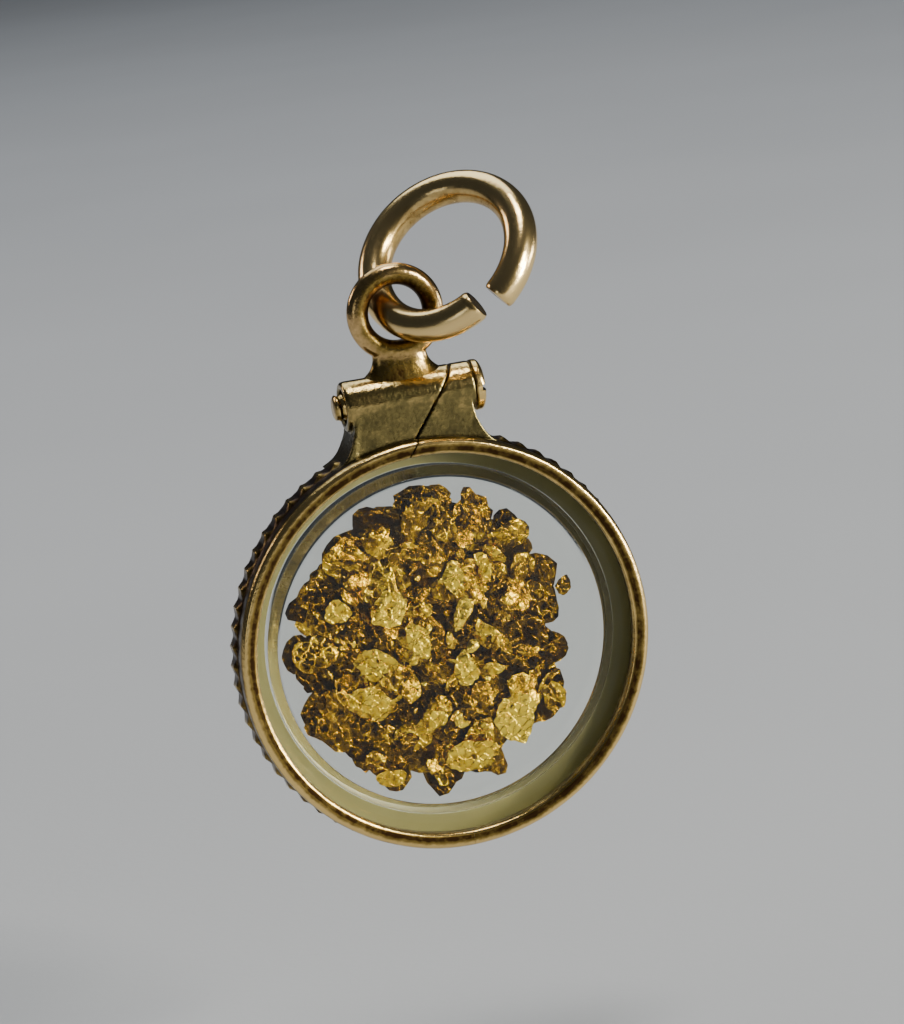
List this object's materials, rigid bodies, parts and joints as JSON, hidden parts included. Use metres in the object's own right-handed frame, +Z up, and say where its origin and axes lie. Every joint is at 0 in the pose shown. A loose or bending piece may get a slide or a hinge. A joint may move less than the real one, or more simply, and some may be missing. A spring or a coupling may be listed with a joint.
{
  "type": "gold flake locket",
  "caption": "Round glass locket of loose gold flakes in a split coin-edge bezel with a slotted clamp screw, bail eye and open jump ring.",
  "frame": {"origin": "the inner top of the jump ring, where the locket hangs from a chain", "axes": "+Z up along the hanging locket, front glass facing -Y, +X toward the screw head"},
  "size_m": [0.0165, 0.0063, 0.0259],
  "materials": {
    "bezel_gold": "worn gold-filled metal, bright on the crests and brown in the recesses",
    "barrel_gold": "worn gold-filled metal, grainy around the solder",
    "eye_gold": "worn gold-filled metal, dark in the hole",
    "ring_gold": "polished gold-filled wire with fine scratches",
    "screw_gold": "turned and slotted, lightly worn",
    "crystal_glass": "clear pressed glass with fine scratches",
    "flake_gold": "crinkled natural gold leaf flakes"
  },
  "bodies": {
    "jump_ring": {"jump_ring": "ring_gold"},
    "frame": {"bezel_ring_left": "bezel_gold", "barrel_left": "barrel_gold", "bail_eye": "eye_gold"},
    "right_half": {"bezel_ring_right": "bezel_gold", "barrel_right": "barrel_gold"},
    "clamp_screw": {"clamp_screw": "screw_gold"},
    "capsule": {"front_glass": "crystal_glass", "rear_glass": "crystal_glass"},
    "gold_flakes": {"gold_flake_01": "flake_gold", "gold_flake_02": "flake_gold", "gold_flake_03": "flake_gold", "gold_flake_04": "flake_gold", "gold_flake_05": "flake_gold", "gold_flake_06": "flake_gold", "gold_flake_07": "flake_gold", "gold_flake_08": "flake_gold", "gold_flake_09": "flake_gold", "gold_flake_10": "flake_gold", "gold_flake_11": "flake_gold", "gold_flake_12": "flake_gold", "gold_flake_13": "flake_gold", "gold_flake_14": "flake_gold", "gold_flake_15": "flake_gold", "gold_flake_16": "flake_gold", "gold_flake_17": "flake_gold", "gold_flake_18": "flake_gold", "gold_flake_19": "flake_gold", "gold_flake_20": "flake_gold", "gold_flake_21": "flake_gold", "gold_flake_22": "flake_gold", "gold_flake_23": "flake_gold", "gold_flake_24": "flake_gold", "gold_flake_25": "flake_gold", "gold_flake_26": "flake_gold", "gold_flake_27": "flake_gold", "gold_flake_28": "flake_gold", "gold_flake_29": "flake_gold", "gold_flake_30": "flake_gold", "gold_flake_31": "flake_gold", "gold_flake_32": "flake_gold", "gold_flake_33": "flake_gold", "gold_flake_34": "flake_gold", "gold_flake_35": "flake_gold", "gold_flake_36": "flake_gold", "gold_flake_37": "flake_gold", "gold_flake_38": "flake_gold", "gold_flake_39": "flake_gold", "gold_flake_40": "flake_gold", "gold_flake_41": "flake_gold", "gold_flake_42": "flake_gold", "gold_flake_43": "flake_gold", "gold_flake_44": "flake_gold", "gold_flake_45": "flake_gold"}
  },
  "joints": [
    {"name": "locket_swing", "type": "hinge", "parent": "jump_ring", "child": "frame", "pos_m": [-0.00329, -0.00118, -0.00368], "axis": [0, 1, 0], "range_deg": [-60, 75]},
    {"name": "ring_flex", "type": "hinge", "parent": "frame", "child": "right_half", "pos_m": [-0.00329, -0.00118, -0.0248], "axis": [0, 1, 0], "range_deg": [0, 3]},
    {"name": "screw_turn", "type": "hinge", "parent": "right_half", "child": "clamp_screw", "pos_m": [-0.00329, -0.00118, -0.00696], "axis": [1, 0, 0], "range_deg": [0, 1332]},
    {"name": "capsule_turn", "type": "hinge", "parent": "frame", "child": "capsule", "pos_m": [-0.00329, -0.00118, -0.01655], "axis": [0, 1, 0], "continuous": true},
    {"name": "flakes_tumble", "type": "hinge", "parent": "capsule", "child": "gold_flakes", "pos_m": [-0.00329, -0.00118, -0.01655], "axis": [0, 1, 0], "continuous": true}
  ],
  "couplings": [
    {"joint": "ring_flex", "follows": "screw_turn", "ratio": 0.002248}
  ]
}
